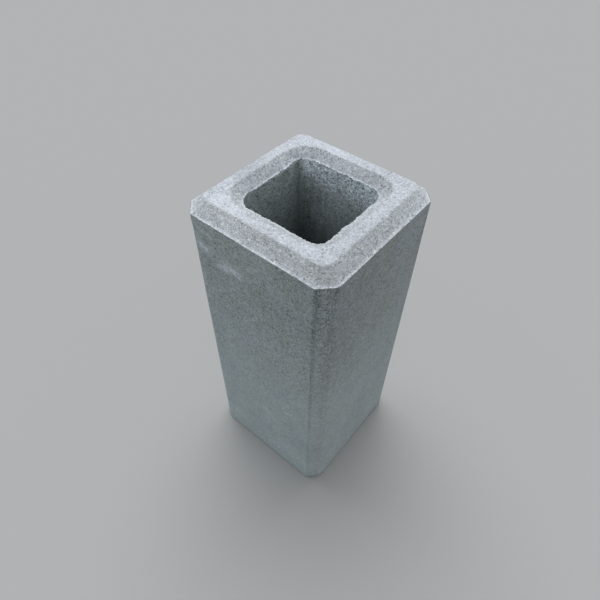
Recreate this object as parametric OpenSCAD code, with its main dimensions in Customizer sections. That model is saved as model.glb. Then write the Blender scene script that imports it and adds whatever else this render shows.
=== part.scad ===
// Concrete pier block for a deck or fence post: a tall square block, cast upright in one piece,
// with a chamfered crown and a tapered post socket that runs right through it.
// The origin is the centre of the base, +Z is up, and the faces look along X and Y.

/* [Body] */
// Width of the block at its base, across two opposite faces
base_w = 200; // [195:1:230]
// Height of the block, base to crown
block_h = 450; // [300:10:600]
// How far each face leans in between the base and the foot of the crown, for the mould to lift off
face_draft = 1; // [0:0.25:2]
// Leg of the flat cut along each upright corner
corner_leg = 16; // [12:1:24]

/* [Crown] */
// Width of the narrow shelf at the foot of the outer slope, where the pressing shoe cleared the mould
shelf_w = 1.5; // [1:0.25:2.5]
// Height of the outer slope
slope_rise = 14; // [8:0.5:20]
// Width of the outer slope, seen from above
slope_run = 14; // [10:0.5:16]

/* [Socket] */
// Width of the funnel's mouth, at the top of the block
mouth_w = 140; // [130:1:146]
// Depth of the funnel
funnel_d = 10; // [6:0.5:16]
// Width of the narrow shelf at the foot of the funnel, where the pressing shoe cleared the core
lip_w = 1.5; // [1:0.25:2.5]
// Width of the hole at the foot of the funnel
neck_w = 114; // [100:1:120]
// How far each wall of the hole leans in between the funnel and the base, for the core to draw out
core_draft = 2; // [0.5:0.25:4]
// Corner radius of the hole at the foot of the funnel
neck_corner_r = 18; // [10:1:24]

/* [Hidden] */
$fn = 96;

// Height of the outer slope's foot, and of the funnel's foot
shelf_z = block_h - slope_rise;
neck_z = block_h - funnel_d;
// Half widths of the block across its faces, at the base and at the outer slope's foot
face_base = base_w / 2;
face_top = face_base - face_draft;
// The same across the corner cuts, which keep their leg all the way up
cut_base = (2 * face_base - corner_leg) / sqrt(2);
cut_top = (2 * face_top - corner_leg) / sqrt(2);
// Half length of each straight run of the socket's wall, between the centres of its corner curves
run_half = neck_w / 2 - neck_corner_r;
// How far cutting shapes pass the surfaces that they cut
over = 5;

// Upright slab between two opposite sides of the block, from their half widths at the base and at
// the outer slope's foot, with the shelf and the slope at its top, wider than the block the other way
module outer_slab(half_base, half_top) {
    half_shelf = half_top - shelf_w;
    half_land = half_shelf - slope_run;
    rotate([90, 0, 0])
        linear_extrude(height = 2 * base_w, center = true)
            polygon([
                [-half_base, 0],
                [half_base, 0],
                [half_top, shelf_z],
                [half_shelf, shelf_z],
                [half_land, block_h],
                [-half_land, block_h],
                [-half_shelf, shelf_z],
                [-half_top, shelf_z],
            ]);
}

// The block without its socket: what two slabs across the faces and two across the corners share
module outer_form() {
    intersection() {
        outer_slab(face_base, face_top);
        rotate(90) outer_slab(face_base, face_top);
        rotate(45) outer_slab(cut_base, cut_top);
        rotate(135) outer_slab(cut_base, cut_top);
    }
}

// Section of the socket outside the lines that join its corner centres: the leaning wall of the
// hole, the shelf and the funnel
module socket_section() {
    wall_base = neck_corner_r - core_draft;
    wall_mouth = mouth_w / 2 - run_half;
    polygon([
        [0, -over],
        [wall_base, -over],
        [wall_base, 0],
        [neck_corner_r, neck_z],
        [neck_corner_r + lip_w, neck_z],
        [wall_mouth, block_h],
        [wall_mouth, block_h + over],
        [0, block_h + over],
    ]);
}

// The socket as a solid: its section runs straight along four sides and turns round four corners,
// about a square middle
module socket_form() {
    translate([-run_half, -run_half, -over])
        cube([2 * run_half, 2 * run_half, block_h + 2 * over]);
    for (turn = [0:90:270])
        rotate(turn) {
            translate([run_half, 0, 0])
                rotate([90, 0, 0])
                    linear_extrude(height = 2 * run_half, center = true)
                        socket_section();
            translate([run_half, run_half, 0])
                rotate_extrude(angle = 90)
                    socket_section();
        }
}

module pier_block() {
    color([0.56, 0.59, 0.6])
        difference() {
            outer_form();
            socket_form();
        }
}

pier_block();
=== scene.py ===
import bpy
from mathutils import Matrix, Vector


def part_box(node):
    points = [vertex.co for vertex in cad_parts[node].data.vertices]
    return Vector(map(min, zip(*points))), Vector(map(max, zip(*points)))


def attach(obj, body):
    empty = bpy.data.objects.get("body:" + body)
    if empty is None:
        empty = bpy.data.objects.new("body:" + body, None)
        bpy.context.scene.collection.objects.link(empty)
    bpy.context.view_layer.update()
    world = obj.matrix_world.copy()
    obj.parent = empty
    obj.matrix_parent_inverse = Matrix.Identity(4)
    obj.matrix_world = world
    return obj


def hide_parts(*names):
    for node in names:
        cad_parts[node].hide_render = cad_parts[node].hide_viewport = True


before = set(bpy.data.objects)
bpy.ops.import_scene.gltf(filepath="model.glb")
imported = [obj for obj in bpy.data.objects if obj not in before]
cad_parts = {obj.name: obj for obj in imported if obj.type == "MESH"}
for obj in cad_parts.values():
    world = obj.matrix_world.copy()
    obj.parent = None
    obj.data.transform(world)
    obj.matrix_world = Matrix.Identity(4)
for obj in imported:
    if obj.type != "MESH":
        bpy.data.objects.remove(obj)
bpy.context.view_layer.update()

import math

import bpy
from mathutils import Matrix

# Pier block
# One casting of dry-mixed concrete, vibrated in a steel mould round a tapered core and pressed from
# above by a shoe. Its faces are close and smooth with fine pores, its crown and its funnel are open and
# sandy, and its socket is torn at the rim, where the core drew out.


class Wire:
    """An output of a node tree. Arithmetic on it adds Math nodes, and node() adds any other node."""

    def __init__(self, tree, socket=None):
        self.tree = tree
        self.socket = socket

    def node(self, kind, settings=None, inputs=None, output=0):
        """Adds a node: its settings first, then the values or wires of its sockets, by name or order."""
        made = self.tree.nodes.new(kind)
        for name, value in (settings or {}).items():
            setattr(made, name, value)
        for name, value in (inputs or {}).items():
            socket = made.inputs[name] if isinstance(name, int) else self.open_one(made.inputs, name)
            if isinstance(value, Wire):
                self.tree.links.new(value.socket, socket)
            else:
                socket.default_value = value
        if isinstance(output, int):
            found = made.outputs[output]
        else:
            found = self.open_one(made.outputs, output)
        return Wire(self.tree, found)

    def open_one(self, sockets, name):
        """The socket of a name that the node's settings leave in use."""
        return next(s for s in sockets if s.name == name and s.enabled)

    def maths(self, operation, *values):
        return self.node("ShaderNodeMath", {"operation": operation}, dict(enumerate(values)))

    def vector_maths(self, operation, *values, output="Vector"):
        settings = {"operation": operation}
        return self.node("ShaderNodeVectorMath", settings, dict(enumerate(values)), output)

    def scaled(self, vector, factor):
        """A vector or colour, fixed or a wire, times a number."""
        return self.node(
            "ShaderNodeVectorMath",
            {"operation": "SCALE"},
            {"Vector": vector, "Scale": factor},
        )

    def axes(self, place):
        """The X, Y and Z of a place."""
        return [self.node("ShaderNodeSeparateXYZ", {}, {0: place}, axis) for axis in "XYZ"]

    def __add__(self, other):
        return self.maths("ADD", self, other)

    __radd__ = __add__

    def __sub__(self, other):
        return self.maths("SUBTRACT", self, other)

    def __rsub__(self, other):
        return self.maths("SUBTRACT", other, self)

    def __mul__(self, other):
        return self.maths("MULTIPLY", self, other)

    __rmul__ = __mul__

    def __truediv__(self, other):
        return self.maths("DIVIDE", self, other)

    def __rtruediv__(self, other):
        return self.maths("DIVIDE", other, self)

    def __abs__(self):
        return self.maths("ABSOLUTE", self)

    def step(self, low, high):
        """0 at low and beyond, 1 at high and beyond, smooth between; low may be the greater."""
        return self.node(
            "ShaderNodeMapRange",
            {"interpolation_type": "SMOOTHSTEP"},
            {"Value": self, "From Min": low, "From Max": high},
        )

    def share(self, low, high):
        """0 at low and beyond, 1 at high and beyond, straight between."""
        inputs = {"Value": self, "From Min": low, "From Max": high}
        return self.node("ShaderNodeMapRange", {}, inputs)

    def toward(self, other, factor):
        """This value at factor 0, the other at factor 1."""
        inputs = {"Factor": factor, "A": self, "B": other}
        return self.node("ShaderNodeMix", {"data_type": "FLOAT"}, inputs)

    def noise(self, place, scale, detail=2.0, roughness=0.5, output="Fac"):
        """Noise over a place in metres; scale is in patches for each metre."""
        return self.node(
            "ShaderNodeTexNoise",
            {"noise_dimensions": "3D"},
            {"Vector": place, "Scale": scale, "Detail": detail, "Roughness": roughness},
            output,
        )


block_low, block_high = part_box("pier_block")
sizes = {
    "Base width": block_high.x - block_low.x,
    "Height": block_high.z,
    "Face draft": 0.001,
    "Corner leg": 0.016,
    "Shelf width": 0.0015,
    "Slope rise": 0.014,
    "Slope run": 0.014,
    "Land corner": 0.012,
    "Mouth width": 0.140,
    "Funnel depth": 0.010,
    "Lip width": 0.0015,
    "Neck width": 0.114,
    "Core draft": 0.002,
    "Neck corner": 0.018,
    "Bend reach": 0.007,
    "Rim wander": 0.0032,
    "Rim bow": 0.0013,
    "Rim hang": 0.0011,
    "Rim slump": 0.0016,
    "Corner tear": 0.0024,
    "Side tear": 0.0011,
    "Burr height": 0.0007,
    "Tear depth": 0.0014,
    "Drag depth": 0.0008,
    "Face wave": 0.0006,
    "Grain depth": 0.0005,
    "Pit depth": 0.0007,
    "Chip depth": 0.0011,
}

tree = bpy.data.node_groups.new("pier_block_casting", "GeometryNodeTree")
tree.is_modifier = True
for name in sizes:
    tree.interface.new_socket(name, in_out="INPUT", socket_type="NodeSocketFloat")
tree.interface.new_socket("Seed", in_out="INPUT", socket_type="NodeSocketFloat")
tree.interface.new_socket("Concrete", in_out="INPUT", socket_type="NodeSocketMaterial")
tree.interface.new_socket("Geometry", in_out="OUTPUT", socket_type="NodeSocketGeometry")
group_in = tree.nodes.new("NodeGroupInput")
start = Wire(tree)
size = {name: Wire(tree, group_in.outputs[name]) for name in [*sizes, "Seed", "Concrete"]}

half_base = size["Base width"] / 2
height = size["Height"]
shelf_z = height - size["Slope rise"]
neck_z = height - size["Funnel depth"]
half_top = half_base - size["Face draft"]
half_shelf = half_top - size["Shelf width"]
half_land = half_shelf - size["Slope run"]
half_mouth = size["Mouth width"] / 2
half_neck = size["Neck width"] / 2
half_foot = half_neck - size["Core draft"]
run_half = half_neck - size["Neck corner"]
corner_loss = 2 - math.sqrt(2)  # how fast a corner cut's leg shrinks as all sides move in together


def face_at(z):
    """Half width of the outer faces at a height."""
    return half_base - size["Face draft"] * (z / shelf_z)


def wall_at(z):
    """Half width of the socket's wall at a height under the funnel."""
    return half_foot + size["Core draft"] * (z / neck_z)


# The section is followed as a closed loop of stations: name, rows from the last one, height, half
# width, corner size, how round the corner is, how sandy the skin is, how much of it the core formed
edge_z = 0.004  # rows run close under this height, for a crisp arris at the foot
dense_face_z = 0.386  # the faces have more rows above this
dense_wall_z = neck_z - 0.066  # and the socket's wall above this
wall_top_z = neck_z - 0.004
skin_edge = 0.0002  # how far in from the upper arris the sandy skin starts
skin_leg = size["Corner leg"] - corner_loss * skin_edge
shelf_leg = size["Corner leg"] - corner_loss * size["Shelf width"]
leg = size["Corner leg"]
lip = size["Lip width"]
neck_corner = size["Neck corner"]


def wall(z):
    """Height, half width and corner size of the socket's wall at a height."""
    return z, wall_at(z), wall_at(z) - run_half


stations = [
    ("foot", 0, 0.0, half_base, leg, 0.0, 0.0, 0.0),
    ("edge", 3, edge_z, face_at(edge_z), leg, 0.0, 0.0, 0.0),
    ("upper face", 15, dense_face_z, face_at(dense_face_z), leg, 0.0, 0.0, 0.0),
    ("shelf", 30, shelf_z, half_top, leg, 0.0, 0.0, 0.0),
    ("shelf skin", 1, shelf_z, half_top - skin_edge, skin_leg, 0.0, 1.0, 0.0),
    ("slope", 3, shelf_z, half_shelf, shelf_leg, 0.0, 1.0, 0.0),
    ("land", 14, height, half_land, size["Land corner"], 1.0, 1.0, 0.0),
    ("mouth", 11, height, half_mouth, half_mouth - run_half, 1.0, 1.0, 0.0),
    ("lip", 11, neck_z, half_neck + lip, neck_corner + lip, 1.0, 1.0, 0.0),
    ("neck", 3, neck_z, half_neck, neck_corner, 1.0, 0.8, 0.2),
    ("wall top", 3, *wall(wall_top_z), 1.0, 0.0, 1.0),
    ("lower wall", 43, *wall(dense_wall_z), 1.0, 0.0, 1.0),
    ("wall edge", 13, *wall(edge_z), 1.0, 0.0, 1.0),
    ("wall foot", 3, 0.0, half_foot, half_foot - run_half, 1.0, 0.0, 1.0),
    ("foot again", 5, 0.0, half_base, leg, 0.0, 0.0, 0.0),
]
rows = sum(station[1] for station in stations)
straight_columns = 58
corner_columns = 34
columns = 4 * (2 * straight_columns + corner_columns)

grid = start.node(
    "GeometryNodeMeshGrid",
    {},
    {"Size X": 1.0, "Size Y": 1.0, "Vertices X": columns + 1, "Vertices Y": rows + 1},
    "Mesh",
)
flat = start.node("GeometryNodeInputPosition")
flat_x, flat_y, _ = start.axes(flat)
row = (flat_y + 0.5) * rows
seam_slip = 0.00001  # keeps each quarter's first column in its own quarter
around = (flat_x + 0.5) * 4 + seam_slip
quarter = around.maths("FLOOR", around)
along = around - quarter

reached = 0
row_at = {"foot": 0}
values = list(stations[0][2:])
for before, after in zip(stations, stations[1:]):
    part = row.share(reached, reached + after[1])
    for i, (old, new) in enumerate(zip(before[2:], after[2:])):
        if isinstance(old, Wire) or isinstance(new, Wire) or old != new:
            values[i] = values[i] + part * (new - old)
    reached += after[1]
    row_at[after[0]] = reached
z, half_width, corner, roundness, sandy, cored = values

straight_share = straight_columns / (2 * straight_columns + corner_columns)
first_run = along.share(0, straight_share)
turn = along.share(straight_share, 1 - straight_share)
last_run = along.share(1 - straight_share, 1)
angle = turn * (math.pi / 2)
run = half_width - corner
corner_x = turn.toward(1 - angle.maths("COSINE", angle), roundness)
corner_y = turn.toward(angle.maths("SINE", angle), roundness)
quarter_x = half_width - corner * corner_x - run * last_run
quarter_y = run * first_run + corner * corner_y

# Distance round the block from the middle of the nearest corner. The mould's side plates meet where
# it is negative, and are bent where it is positive, so that arris comes out soft.
corner_girth = corner * (math.sqrt(2) + roundness * (math.pi / 2 - math.sqrt(2)))
girth = run * (first_run + last_run - 1) + corner_girth * (turn - 0.5)
bend_angle = math.radians(45 / 2)  # half the turn at the arris
to_bend = abs(girth - corner_girth / 2) / size["Bend reach"]
bend = (1 - to_bend).maths("MAXIMUM", 1 - to_bend, 0.0)
crisp = z.step(0.400, 0.434) * 0.8  # the arris sharpens toward the crown
bend_depth = size["Bend reach"] * (math.tan(bend_angle) / 2)
bend = bend * bend * (1 - roundness) * (1 - crisp) * bend_depth
quarter_x = quarter_x - bend * math.sin(bend_angle)
quarter_y = quarter_y - bend * math.cos(bend_angle)

in_quarter = start.node("ShaderNodeCombineXYZ", {}, {0: quarter_x, 1: quarter_y, 2: z})
place = start.node(
    "ShaderNodeVectorRotate",
    {"rotation_type": "Z_AXIS"},
    {"Vector": in_quarter, "Angle": quarter * (math.pi / 2)},
)


def between(first, last):
    """1 on the rows between two stations."""
    low, high = row_at[first], row_at[last]
    return row.share(low - 0.5, low + 0.5) * row.share(high + 0.5, high - 0.5)


def keep(geometry, name, value, kind="FLOAT"):
    """Stores a field on the mesh's points under a name."""
    return geometry.node(
        "GeometryNodeStoreNamedAttribute",
        {"data_type": kind, "domain": "POINT"},
        {"Geometry": geometry, "Name": name, "Value": value},
        "Geometry",
    )


def kept(name):
    """Reads a field that was stored on the mesh."""
    settings = {"data_type": "FLOAT"}
    return start.node("GeometryNodeInputNamedAttribute", settings, {"Name": name}, "Attribute")


def placed(geometry, inputs):
    """Sets or offsets the places of the mesh's points."""
    return start.node("GeometryNodeSetPosition", {}, {"Geometry": geometry, **inputs}, "Geometry")


mesh = keep(grid, "row", row)
mesh = keep(mesh, "sandy", sandy)
mesh = keep(mesh, "cored", cored)
mesh = keep(mesh, "pressed", between("slope", "land") + between("mouth", "lip"))
mesh = keep(mesh, "from_corner", girth)
mesh = placed(mesh, {"Position": place})
seam_reach = 0.00002
merging = {"Geometry": mesh, "Distance": seam_reach}
mesh = start.node("GeometryNodeMergeByDistance", {}, merging, "Geometry")
shading = {"Geometry": mesh, "Shade Smooth": True}
mesh = start.node("GeometryNodeSetShadeSmooth", {}, shading, "Geometry")

# Arrises come out of the mould a little soft
softened = start.node(
    "GeometryNodeBlurAttribute",
    {"data_type": "FLOAT_VECTOR"},
    {"Value": start.node("GeometryNodeInputPosition"), "Iterations": 1, "Weight": 1.0},
)
mesh = placed(mesh, {"Position": softened})

here = start.node("GeometryNodeInputPosition")
facing = start.node("GeometryNodeInputNormal")
seed_shift = start.node("ShaderNodeCombineXYZ", {}, {0: size["Seed"], 1: size["Seed"]})
spot = here.vector_maths("ADD", here, seed_shift)
at_x, at_y, at_z = start.axes(here)
at_row = kept("row")


def near(station, reach):
    """1 on a station's row and 0 at reach rows from it."""
    return abs(at_row - row_at[station]).step(reach, 0.5)


def moved(geometry, direction, distance):
    """Moves the mesh's points by a distance along a direction."""
    return placed(geometry, {"Offset": start.scaled(direction, distance)})


# The hole's rim tears as the core draws out. Its line wanders, and grout hangs over the hole on two
# sides and bows in by the end of one of them. Steps of at_x, at_y and at_z are in metres.
level = facing.vector_maths("NORMALIZE", facing.vector_maths("MULTIPLY", facing, (1.0, 1.0, 0.0)))
wander = (spot.noise(spot, 130, 3, 0.7) - 0.5) * 2 * size["Rim wander"]
bow = at_y.step(-0.052, -0.030) * at_y.step(0.004, -0.018) * at_x.step(0.045, 0.050) * size["Rim bow"]
hang = at_x.maths("MAXIMUM", at_x, 0 - at_y).step(0.040, 0.055) * size["Rim hang"]
mesh = moved(mesh, level, near("neck", 9) * (wander + bow + hang))

# It is torn back at the far corner and beside it, together with its narrow shelf
torn_corner = (-0.0565, 0.0440, 0.0)
level_here = here.vector_maths("MULTIPLY", here, (1.0, 1.0, 0.0))
corner_away = here.vector_maths("DISTANCE", level_here, torn_corner, output="Value")
far_side = at_x.step(-0.047, -0.040) * at_x.step(-0.014, -0.026) * at_y.step(0.050, 0.055)
tear = corner_away.step(0.015, 0.003) * size["Corner tear"] + far_side * size["Side tear"]
shelf_row, neck_row = row_at["lip"], row_at["neck"]
rim_rows = at_row.share(shelf_row - 10, shelf_row) * at_row.step(neck_row + 9, neck_row)
mesh = moved(mesh, level, 0 - rim_rows * tear)
slump = spot.noise(spot, 260, 2, 0.6).step(0.50, 0.80) * near("neck", 5) * size["Rim slump"]
mesh = moved(mesh, (0.0, 0.0, -1.0), slump)

# Burrs stand up in places from the narrow shelf, where grout was drawn between mould and shoe
burr = spot.noise(spot, 120, 3, 0.7).step(0.42, 0.66) * near("slope", 3.5) * size["Burr height"]
mesh = moved(mesh, (0.0, 0.0, 1.0), burr)

# The core's wall is torn under the rim, most on the far side, and dragged lower down
under_rim = kept("cored") * at_z.step(0.396, 0.430)
torn_side = (at_y + at_x * 0.035).step(0.0433, 0.0548)
torn = under_rim * (torn_side * 0.93 + 0.07)
lumps = spot.noise(spot, 300, 1, 0.5)
patches = spot.noise(spot, 75, 1, 0.5).step(0.35, 0.62) * 0.5 + abs(at_x).step(0.012, 0.042) * 0.5
mesh = keep(mesh, "torn", torn * (0.25 + patches * 0.45 + lumps.step(0.30, 0.65) * 0.45))
off_floor = at_z.step(0.0005, 0.006)
long_way = spot.vector_maths("MULTIPLY", spot, (1.0, 1.0, 0.06))
drag = (spot.noise(long_way, 200, 2, 0.5) - 0.5) * kept("cored") * off_floor * size["Drag depth"]
mesh = moved(mesh, facing, (lumps - 0.5) * 2 * torn * size["Tear depth"] + drag)

# The mould's faces wave slowly, in at the foot and both ways above it. Grain and pits open the crown and
# the funnel, and chips lie along the arrises.
outward = at_z.step(0.05, 0.30) * (1 - kept("sandy")) * 0.5
wave = (spot.noise(spot, 11, 1, 0.5) - outward) * off_floor * size["Face wave"]
grain = spot.noise(spot, 430, 2, 0.6) * kept("sandy") * size["Grain depth"]
pits = spot.noise(spot, 330, 1, 0.5).step(0.60, 0.74) * kept("sandy") * size["Pit depth"]
arris = near("foot", 3) + near("shelf", 3) * 0.4 + near("land", 3) * 0.5 + near("mouth", 3) * 0.7
chips = spot.noise(spot, 140, 2, 0.6).step(0.56, 0.70) * arris * size["Chip depth"]
mesh = moved(mesh, facing, 0 - (wave + grain + pits + chips))

group_out = tree.nodes.new("NodeGroupOutput")
mesh = start.node("GeometryNodeRealizeInstances", {}, {"Geometry": mesh}, "Geometry")
dressing = {"Geometry": mesh, "Material": size["Concrete"]}
mesh = start.node("GeometryNodeSetMaterial", {}, dressing, "Geometry")
tree.links.new(mesh.socket, group_out.inputs[0])

concrete = bpy.data.materials.new("concrete")
concrete.use_nodes = True
paint = Wire(concrete.node_tree)
spot = paint.node("ShaderNodeTexCoord", {}, {}, "Object")
at_x, at_y, at_z = paint.axes(spot)
sandy, cored, pressed, torn, from_corner = (
    paint.node("ShaderNodeAttribute", {"attribute_name": name}, {}, "Fac")
    for name in ("sandy", "cored", "pressed", "torn", "from_corner")
)
wobble = paint.scaled(spot.noise(spot, 650, 1, 0.5, "Color"), 0.0012)
uneven = spot.vector_maths("ADD", spot, wobble)


def tint(under, over, factor):
    """One colour laid over another."""
    inputs = {"Factor": factor, "A": under, "B": over}
    return paint.node("ShaderNodeMix", {"data_type": "RGBA"}, inputs, "Result")


def cells(cell, radius, part):
    """Round spots in a part of the cells, sizes in metres, and a lot from 0 to 1 for each cell."""
    settings = {"voronoi_dimensions": "3D", "feature": "F1"}
    inputs = {"Vector": uneven, "Scale": 1 / cell}
    away = paint.node("ShaderNodeTexVoronoi", settings, inputs, "Distance")
    drawn = paint.node("ShaderNodeTexVoronoi", settings, inputs, "Color")
    first_lot = paint.node("ShaderNodeSeparateColor", {}, {0: drawn}, "Red")
    second_lot = paint.node("ShaderNodeSeparateColor", {}, {0: drawn}, "Green")
    softness = 0.02
    chosen = first_lot.step(1 - part - softness, 1 - part + softness)
    return away.step(radius / cell, 0.5 * radius / cell) * chosen, second_lot


def upright(middle, reach, solid):
    """An upright line round the block, 1 within solid of its middle and 0 beyond reach. The middle is
    in metres from the middle of the nearest corner."""
    return abs(from_corner - middle).step(reach, solid)


def stroke(first, last, width):
    """A soft mark between two points of the front face, given as x and z."""
    stroke_start = (first[0], -0.1, first[1])
    run = (last[0] - first[0], 0.0, last[1] - first[1])
    length_squared = run[0] ** 2 + run[2] ** 2
    reach = spot.vector_maths("SUBTRACT", spot, stroke_start)
    part_way = spot.vector_maths("DOT_PRODUCT", reach, run, output="Value").share(0, length_squared)
    away = spot.vector_maths("DISTANCE", reach, paint.scaled(run, part_way), output="Value")
    return away.step(width, 0.15 * width)


land_colour = (0.590, 0.616, 0.664, 1)
slope_colour = (0.585, 0.614, 0.640, 1)
shaded_far_funnel_colour = (0.520, 0.553, 0.582, 1)
upper_face_colour = (0.345, 0.378, 0.388, 1)
lower_face_colour = (0.410, 0.462, 0.474, 1)
socket_colour = (0.430, 0.475, 0.490, 1)
dark_socket_colour = (0.325, 0.362, 0.358, 1)
torn_colour = (0.840, 0.945, 1.000, 1)
slate_colour = (0.365, 0.415, 0.450, 1)
clay_colour = (0.320, 0.332, 0.308, 1)
bloom_colour = (0.600, 0.665, 0.715, 1)

soft_cloud = spot.noise(spot, 16, 3, 0.55)
small_cloud = spot.noise(spot, 55, 3, 0.6)
mottle = spot.noise(spot, 170, 2, 0.6)
coarse_grain = spot.noise(spot, 480, 2, 0.65)
fine_grain = spot.noise(spot, 1150, 2, 0.6)
hanging = spot.vector_maths("MULTIPLY", spot, (1.0, 1.0, 0.15))
streaks = spot.noise(hanging, 60, 2, 0.5)
drag_marks = spot.noise(hanging, 170, 2, 0.6) - 0.5
grain_place, grain_lot = cells(0.0018, 0.0012, 0.80)
stone_place, stone_lot = cells(0.0043, 0.0022, 0.35)
sand = (grain_lot - 0.5) * 2 * grain_place + (stone_lot - 0.5) * stone_place

# Places on the block. Steps of at_x, at_y, at_z and of distances are in metres, those of noise are in
# the noise's own values.
moulded = (1 - sandy) * (1 - cored)
front_face = at_y.step(-0.090, -0.096) * moulded
right_face = at_x.step(0.088, 0.097) * moulded
facet = upright(0, 0.0120, 0.0106) * moulded
land = sandy * (1 - pressed)
funnel = abs(at_x).maths("MAXIMUM", abs(at_x), abs(at_y)).step(0.0735, 0.0700)
away_from_front = at_x.maths("MAXIMUM", at_y - at_x * 0.5, at_y * 0.5 - at_x - 0.008)
far_funnel = funnel * away_from_front.step(0.006, 0.024)
left_wall = at_x.step(-0.040, -0.052)
far_wall = cored * at_y.step(0.050, 0.056)
back_corner = cored * at_x.step(0, -0.03) * at_y.step(0, 0.03)
toward_crown = at_z.step(0.08, 0.40)
# Painted shade round the front corner near the crown, which faces away from the light: it darkens the
# faces there a little and the crown's slopes more, most on the corner's own chamfer
front_corner_shade_middle = (0.1, -0.1, 0.45)
front_corner_shade = spot.vector_maths("DISTANCE", spot, front_corner_shade_middle, output="Value").step(0.19, 0.02)
grey_middle = (-0.078, -0.012, 0.45)
grey_patch = spot.vector_maths("DISTANCE", spot, grey_middle, output="Value").step(0.040, 0.008)

# Pores lie open toward the crown and where the mould's plates meet, where the mix packs least
plate_middle = -0.0105
plate_joint = upright(plate_middle, 0.0050, 0.0008) * at_z.step(0.19, 0.36)
open_joint = upright(-0.0080, 0.0050, 0.0028) * at_z.step(0.36, 0.41)
corner_cut = upright(0, 0.0125, 0.0105) * at_z.step(0.30, 0.41)
openness = toward_crown * 0.6 + corner_cut * 0.4
pores = cells(0.0030, 0.0009, 0.50)[0] * (0.15 + openness * 0.85)
joint_openness = plate_joint * 0.4 + corner_cut * 0.6 + open_joint * 0.5
joint_pores = cells(0.0021, 0.0009, 0.80)[0] * joint_openness * moulded

# Colour: slate and clay tones on the faces, paler on the crown, palest where the rim is torn, with
# painted shade on the funnel's far slopes
face_height = at_z + (soft_cloud - 0.5) * 0.20
slate = spot.noise(spot, 21, 2, 0.5).step(0.50, 0.68)
clay = spot.noise(spot, 27, 2, 0.5).step(0.48, 0.66) * toward_crown
colour = tint(lower_face_colour, upper_face_colour, face_height.step(0.10, 0.40))
colour = tint(colour, slate_colour, slate * 0.5)
colour = tint(colour, clay_colour, clay * 0.4)
colour = tint(colour, tint(socket_colour, dark_socket_colour, left_wall), cored)
# Painted shade: the funnel's far slopes, which face away from the light, take a darker colour
pressed_colour = tint(slope_colour, shaded_far_funnel_colour, far_funnel)
colour = tint(colour, tint(land_colour, pressed_colour, pressed), sandy)
colour = tint(colour, torn_colour, torn)

# Tone: grain and clouds, strongest in the socket and weakest on the dense lower faces
grain_depth = 0.28 + openness * 0.40
grain_depth = grain_depth.toward(0.36 + pressed * 0.14, sandy).toward(0.60 + torn * 0.3, cored)
specks = (fine_grain - 0.5) * (2.2 - sandy * 0.8)
tone = 1 + (sand + (coarse_grain - 0.5) + specks + (mottle - 0.5)) * grain_depth
tone = tone + (soft_cloud - 0.5) * 0.22 + (small_cloud - 0.5) * 0.20
tone = tone + (streaks - 0.5) * 0.12 * (1 - sandy)

# Then places are made lighter or darker, each by a share of its tone
joint_depth = 0.04 + at_z.step(0.02, 0.08) * 0.05 + at_z.step(0.10, 0.30) * 0.03
joint_line = upright(plate_middle, 0.0036, 0.0008) * joint_depth
joint_shade = open_joint * 0.07 + plate_joint * 0.05 + joint_line
# Painted shade: the right face is made darker than the front one, more high up and toward the front
# corner, as less light reaches that side
right_face_shade = 0.055 + at_z.step(0.20, 0.36) * (0.03 + at_y.step(0.06, -0.07) * 0.08)
# The upright corner cuts are darker, on all four corners: partly their own looser pack, partly painted
# shade matched to the front one, which faces away from the light; most near the crown and least where
# each bends into the next face
facet_darkening = 0.062 + at_z.step(0.35, 0.42) * 0.035 - from_corner.step(0.003, 0.008) * 0.035
dry_crest = front_face * at_z.step(0.372, 0.405) * at_x.step(0.055, 0.015)
# Painted light: the faces grow paler toward the foot, standing in for light thrown up from the pale
# floor
painted_floor_bounce = moulded * at_z.step(0.078, 0.030)
# Painted contact shadow: the faces darken in their lowest few millimetres, where they meet the floor
painted_contact_shadow = moulded * at_z.step(0.0036, 0.0006)
dry_side = land * at_x.step(0.07, -0.07)
far_land = land * at_y.step(0.066, 0.072) * at_x.step(-0.030, 0.030)
right_slope = pressed * at_x.step(0.080, 0.084)
shaded_corner_slope = pressed * upright(0, 0.012, 0.008) * front_corner_shade
left_funnel = pressed * funnel * at_x.step(-0.050, -0.058)
# Painted shade on the far funnel, carried darker toward its end by the +X, +Y corner
far_funnel_end_shade = pressed * far_funnel * (at_x + at_y).step(0.045, 0.105)
shelf_height = 0.4362
# The narrow shelf's line is paler in patches: partly pale grout burrs, partly a painted highlight along
# the lit shelf
shelf = sandy * abs(at_z - shelf_height).step(0.0012, 0.0005)
pale_burrs_and_shelf_highlight = shelf * spot.noise(spot, 130, 2, 0.6).step(0.32, 0.56)
lit_wall = far_wall * at_x.step(-0.034, -0.004) * at_z.step(0.425, 0.395) * at_z.step(0.290, 0.340)
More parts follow.
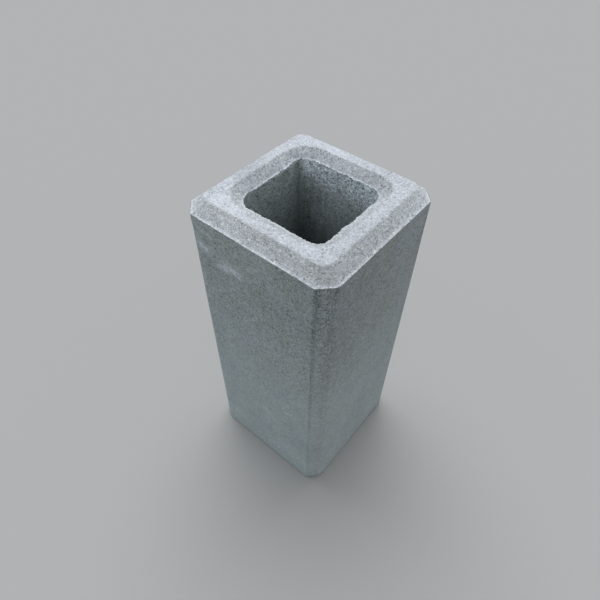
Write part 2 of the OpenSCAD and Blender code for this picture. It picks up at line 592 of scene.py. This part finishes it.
# Painted shade on the far wall beside the socket's back corner
shade_beside_crease = back_corner * from_corner.step(-0.034, -0.016) * from_corner.step(-0.002, -0.012)
for where, change in [
    # Faces and corner cuts
    (pores, pressed * 0.10 - sandy * 0.14 - 0.26),
    (joint_pores, -0.45),
    (moulded, 0 - joint_shade),
    # painted shade on the right face
    (right_face, 0 - right_face_shade),
    # corner cuts darker, partly painted shade
    (facet, 0 - facet_darkening),
    (dry_crest, 0.10),
    # painted light from the floor at the foot
    (painted_floor_bounce, 0.10),
    # painted contact shadow at the foot
    (painted_contact_shadow, -0.30),
    # Crown and funnel
    # painted shade round the front corner
    (front_corner_shade, pressed * -0.12 - 0.08),
    (grey_patch, sandy * -0.16),
    (dry_side, 0.09 - at_x.step(-0.066, -0.074) * 0.08),
    (far_land, -0.05),
    (right_slope, 0.045),
    # painted shade on the front corner's chamfer
    (shaded_corner_slope, -0.08),
    (left_funnel, 0.05),
    # painted shade at the far funnel's end
    (far_funnel_end_shade, -0.10),
    # pale burrs and painted highlight on the shelf
    (pale_burrs_and_shelf_highlight, 0.15),
    # Socket
    (torn, at_x.step(0.000, 0.040) * 0.05 + at_x.step(-0.030, -0.050) * 0.12),
    # Painted shade: the socket's wall falls to half its tone deeper down, where less light reaches
    (cored, at_z.step(0.30, 0.42) * 0.50 - 0.50),
    (cored, drag_marks * (0.30 + far_wall * at_x.step(-0.010, -0.030) * 0.60)),
    (lit_wall, 0.09),
    # Painted shade in the socket's back corner: a thin dark line in its crease, a wider darkening round
    # it growing deeper down, and more on the far wall beside it
    (back_corner, upright(0.007, 0.0040, 0.0005) * -0.16),
    (back_corner, upright(0.001, 0.0170, 0.0040) * (at_z.step(0.390, 0.350) * -0.08 - 0.20)),
    (shade_beside_crease, at_z.step(0.390, 0.345) * -0.14),
]:
    tone = tone * (1 + where * change)
colour = paint.scaled(colour, tone)
cooler = colour.vector_maths("MULTIPLY", colour, (0.97, 1.005, 1.012))
colour = tint(colour, cooler, front_face)

# Pale bloom lies on all faces. The front one has rub marks too: both ends, width and strength.
rub_marks = [
    ((-0.073, 0.424), (-0.065, 0.420), 0.0040, 1.0),
    ((-0.059, 0.421), (-0.056, 0.418), 0.0045, 1.2),
    ((-0.074, 0.399), (-0.067, 0.396), 0.0060, 2.0),
    ((-0.074, 0.402), (-0.064, 0.398), 0.0120, 0.7),
    ((-0.050, 0.381), (-0.037, 0.384), 0.0060, 0.9),
    ((-0.039, 0.387), (-0.020, 0.388), 0.0140, 0.9),
    ((-0.030, 0.387), (-0.016, 0.384), 0.0060, 1.1),
    ((-0.025, 0.415), (-0.018, 0.415), 0.0035, 0.6),
    ((-0.004, 0.405), (0.007, 0.411), 0.0040, 0.5),
    ((-0.001, 0.389), (0.008, 0.395), 0.0040, 0.5),
    ((-0.079, 0.353), (-0.079, 0.334), 0.0060, 0.6),
    ((-0.066, 0.334), (-0.054, 0.337), 0.0050, 0.6),
    ((0.023, 0.398), (0.030, 0.393), 0.0030, 0.6),
    ((-0.013, 0.346), (-0.005, 0.341), 0.0035, 0.7),
    ((0.0038, 0.1290), (0.0267, 0.1080), 0.0024, 1.7),
    ((0.0342, 0.1056), (0.0460, 0.1111), 0.0030, 0.8),
    ((0.0425, 0.1592), (0.0548, 0.1655), 0.0030, 0.9),
    ((0.0548, 0.1655), (0.0617, 0.1592), 0.0026, 0.9),
    ((0.0398, 0.1677), (0.0471, 0.1830), 0.0026, 0.7),
]
marks = sum(stroke(first, last, width) * strength for first, last, width, strength in rub_marks)
broken = spot.noise(spot, 230, 3, 0.75).step(0.42, 0.60)
rubbed = spot.noise(spot, 34, 4, 0.7).step(0.60, 0.80) * moulded * 0.35
bloom = marks * front_face * (0.20 + broken * 0.80) * 0.68 + rubbed * broken * 0.75
colour = tint(colour, bloom_colour, bloom)

shader = concrete.node_tree.nodes["Principled BSDF"]
rough = 0.86 + (coarse_grain - 0.5) * 0.16
relief = coarse_grain * 0.00025 + fine_grain * 0.00012 + grain_place * 0.00015  # metres
relief = relief * (0.30 + openness * 0.5).toward(1.0, sandy)
relief = relief - pores * 0.0004 - joint_pores * 0.0003
bump = paint.node("ShaderNodeBump", {}, {"Strength": 1.0, "Distance": 1.0, "Height": relief})
for wire, socket in [(colour, "Base Color"), (rough, "Roughness"), (bump, "Normal")]:
    paint.tree.links.new(wire.socket, shader.inputs[socket])

caster = bpy.data.objects.new("pier_block_caster", bpy.data.meshes.new("pier_block_caster"))
bpy.context.scene.collection.objects.link(caster)
casting = caster.modifiers.new("casting", "NODES")
casting.node_group = tree
sockets = tree.interface.items_tree
identifiers = {item.name: item.identifier for item in sockets if item.in_out == "INPUT"}
for name, value in {**sizes, "Seed": 3.0, "Concrete": concrete}.items():
    casting[identifiers[name]] = value
bpy.context.view_layer.update()
evaluated = caster.evaluated_get(bpy.context.evaluated_depsgraph_get())
block_mesh = bpy.data.meshes.new_from_object(evaluated)
bpy.data.objects.remove(caster)
block = bpy.data.objects.new("cast_block", block_mesh)
bpy.context.scene.collection.objects.link(block)
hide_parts("pier_block")
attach(block, "root")

# Floor
# A plain pale sheet, wide enough to run to the horizon, where it meets a backdrop of its own tone.
floor_half = 60.0
floor_signs = [(-1, -1), (1, -1), (1, 1), (-1, 1)]
floor_corners = [(x * floor_half, y * floor_half, 0) for x, y in floor_signs]
floor_mesh = bpy.data.meshes.new("floor")
floor_mesh.from_pydata(floor_corners, [], [(0, 1, 2, 3)])
floor = bpy.data.objects.new("floor", floor_mesh)
bpy.context.scene.collection.objects.link(floor)
floor_paint = bpy.data.materials.new("floor_paint")
floor_paint.use_nodes = True
floor_shader = floor_paint.node_tree.nodes["Principled BSDF"]
floor_shader.inputs["Base Color"].default_value = (0.455, 0.452, 0.448, 1)
floor_shader.inputs["Roughness"].default_value = 0.95
floor_shader.inputs["Specular IOR Level"].default_value = 0.0
floor_mesh.materials.append(floor_paint)

# Light
# An even overcast sky, with a wide bright part high up and beyond the block as the camera sees it.
# What the camera sees of the sky is a plain backdrop.
world = bpy.data.worlds.new("overcast")
bpy.context.scene.world = world
world.use_nodes = True
sky = Wire(world.node_tree)
light_inputs = {"Color": (0.93, 0.97, 1.0, 1), "Strength": 0.48}
backdrop_inputs = {"Color": (0.440, 0.452, 0.460, 1), "Strength": 1.0}
sky_light = sky.node("ShaderNodeBackground", {}, light_inputs, "Background")
backdrop = sky.node("ShaderNodeBackground", {}, backdrop_inputs, "Background")
seen, mirrored, seen_through = (
    sky.node("ShaderNodeLightPath", {}, {}, f"Is {kind} Ray")
    for kind in ("Camera", "Glossy", "Transmission")
)
in_view = seen + mirrored + seen_through
both = sky.node("ShaderNodeMixShader", {}, {0: in_view, 1: sky_light, 2: backdrop}, "Shader")
sky.tree.links.new(both.socket, sky.tree.nodes["World Output"].inputs["Surface"])
key_azimuth = math.radians(138)  # from +X toward +Y
key_height = math.radians(62)  # above the horizon
key_lamp = bpy.data.lights.new("bright_sky", "SUN")
key_lamp.angle = math.radians(56)
key_lamp.energy = 1.95
key_lamp.color = (0.96, 0.98, 1.0)
key = bpy.data.objects.new("bright_sky", key_lamp)
bpy.context.scene.collection.objects.link(key)
key.rotation_euler = (math.radians(90) - key_height, 0, key_azimuth + math.radians(90))

# Camera
# It stands above and before the upright corner between the two faces that show, where the block's
# own edges in the photo put it.
camera_data = bpy.data.cameras.new("camera")
camera_data.sensor_width = 36.0
camera_data.lens = 28.936
camera = bpy.data.objects.new("camera", camera_data)
bpy.context.scene.collection.objects.link(camera)
camera_place = Matrix.Translation((0.2574, -0.3343, 0.7549))
camera_turn = Matrix.Rotation(math.radians(39.064), 4, "Z")
camera_tilt = Matrix.Rotation(math.radians(41.244), 4, "X")
camera_roll = Matrix.Rotation(math.radians(0.749), 4, "Z")
camera.matrix_world = camera_place @ camera_turn @ camera_tilt @ camera_roll
camera_data.clip_start = 0.01
bpy.context.scene.camera = camera

bpy.context.scene.view_settings.view_transform = "Standard"
